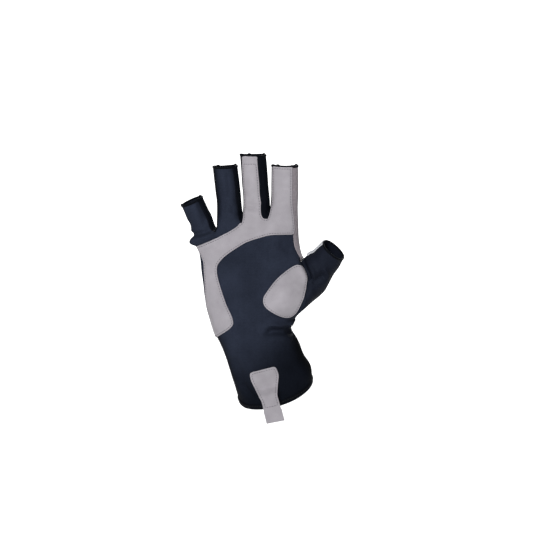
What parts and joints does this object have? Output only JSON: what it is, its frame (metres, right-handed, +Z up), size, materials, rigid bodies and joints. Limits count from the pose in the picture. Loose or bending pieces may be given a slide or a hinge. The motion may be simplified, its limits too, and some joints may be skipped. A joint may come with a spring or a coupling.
{
  "type": "fingerless fishing glove",
  "caption": "Right-hand stretch-knit sun glove with open fingertips, suede patches on the palm, a flared bound cuff and a pull tab, shaped as worn.",
  "frame": {"origin": "centre of the wrist opening, where the hand goes in", "axes": "+Z runs up the middle finger, -Y points out of the palm, and +X points to the thumb's side"},
  "size_m": [0.1508, 0.0742, 0.247],
  "materials": {
    "palm_knit": "navy-charcoal stretch jersey of polyester and elastane, fine matt rib",
    "back_knit": "navy-charcoal stretch jersey of polyester and elastane, fine matt rib",
    "side_knit": "black stretch jersey, matt",
    "grey_suede": "grey synthetic suede of microfibre, short matt nap",
    "side_suede": "darker flecked grey synthetic suede",
    "pale_suede": "pale grey synthetic suede",
    "trim": "black folded stretch binding, matt"
  },
  "bodies": {
    "root": {"palm_panel": "palm_knit", "back_panel": "back_knit", "thumb_sleeve": "back_knit", "index_side_panel": "side_suede", "fourchette_little_ring": "side_knit", "fourchette_ring_middle": "side_knit", "fourchette_middle_index": "side_knit", "grip_patch": "grey_suede", "thenar_patch": "grey_suede", "thumb_web_patch": "pale_suede", "pull_tab": "grey_suede", "cuff_binding": "trim", "little_hem": "trim", "ring_hem": "trim", "middle_hem": "trim", "index_hem": "trim", "thumb_hem": "trim"}
  },
  "joints": []
}
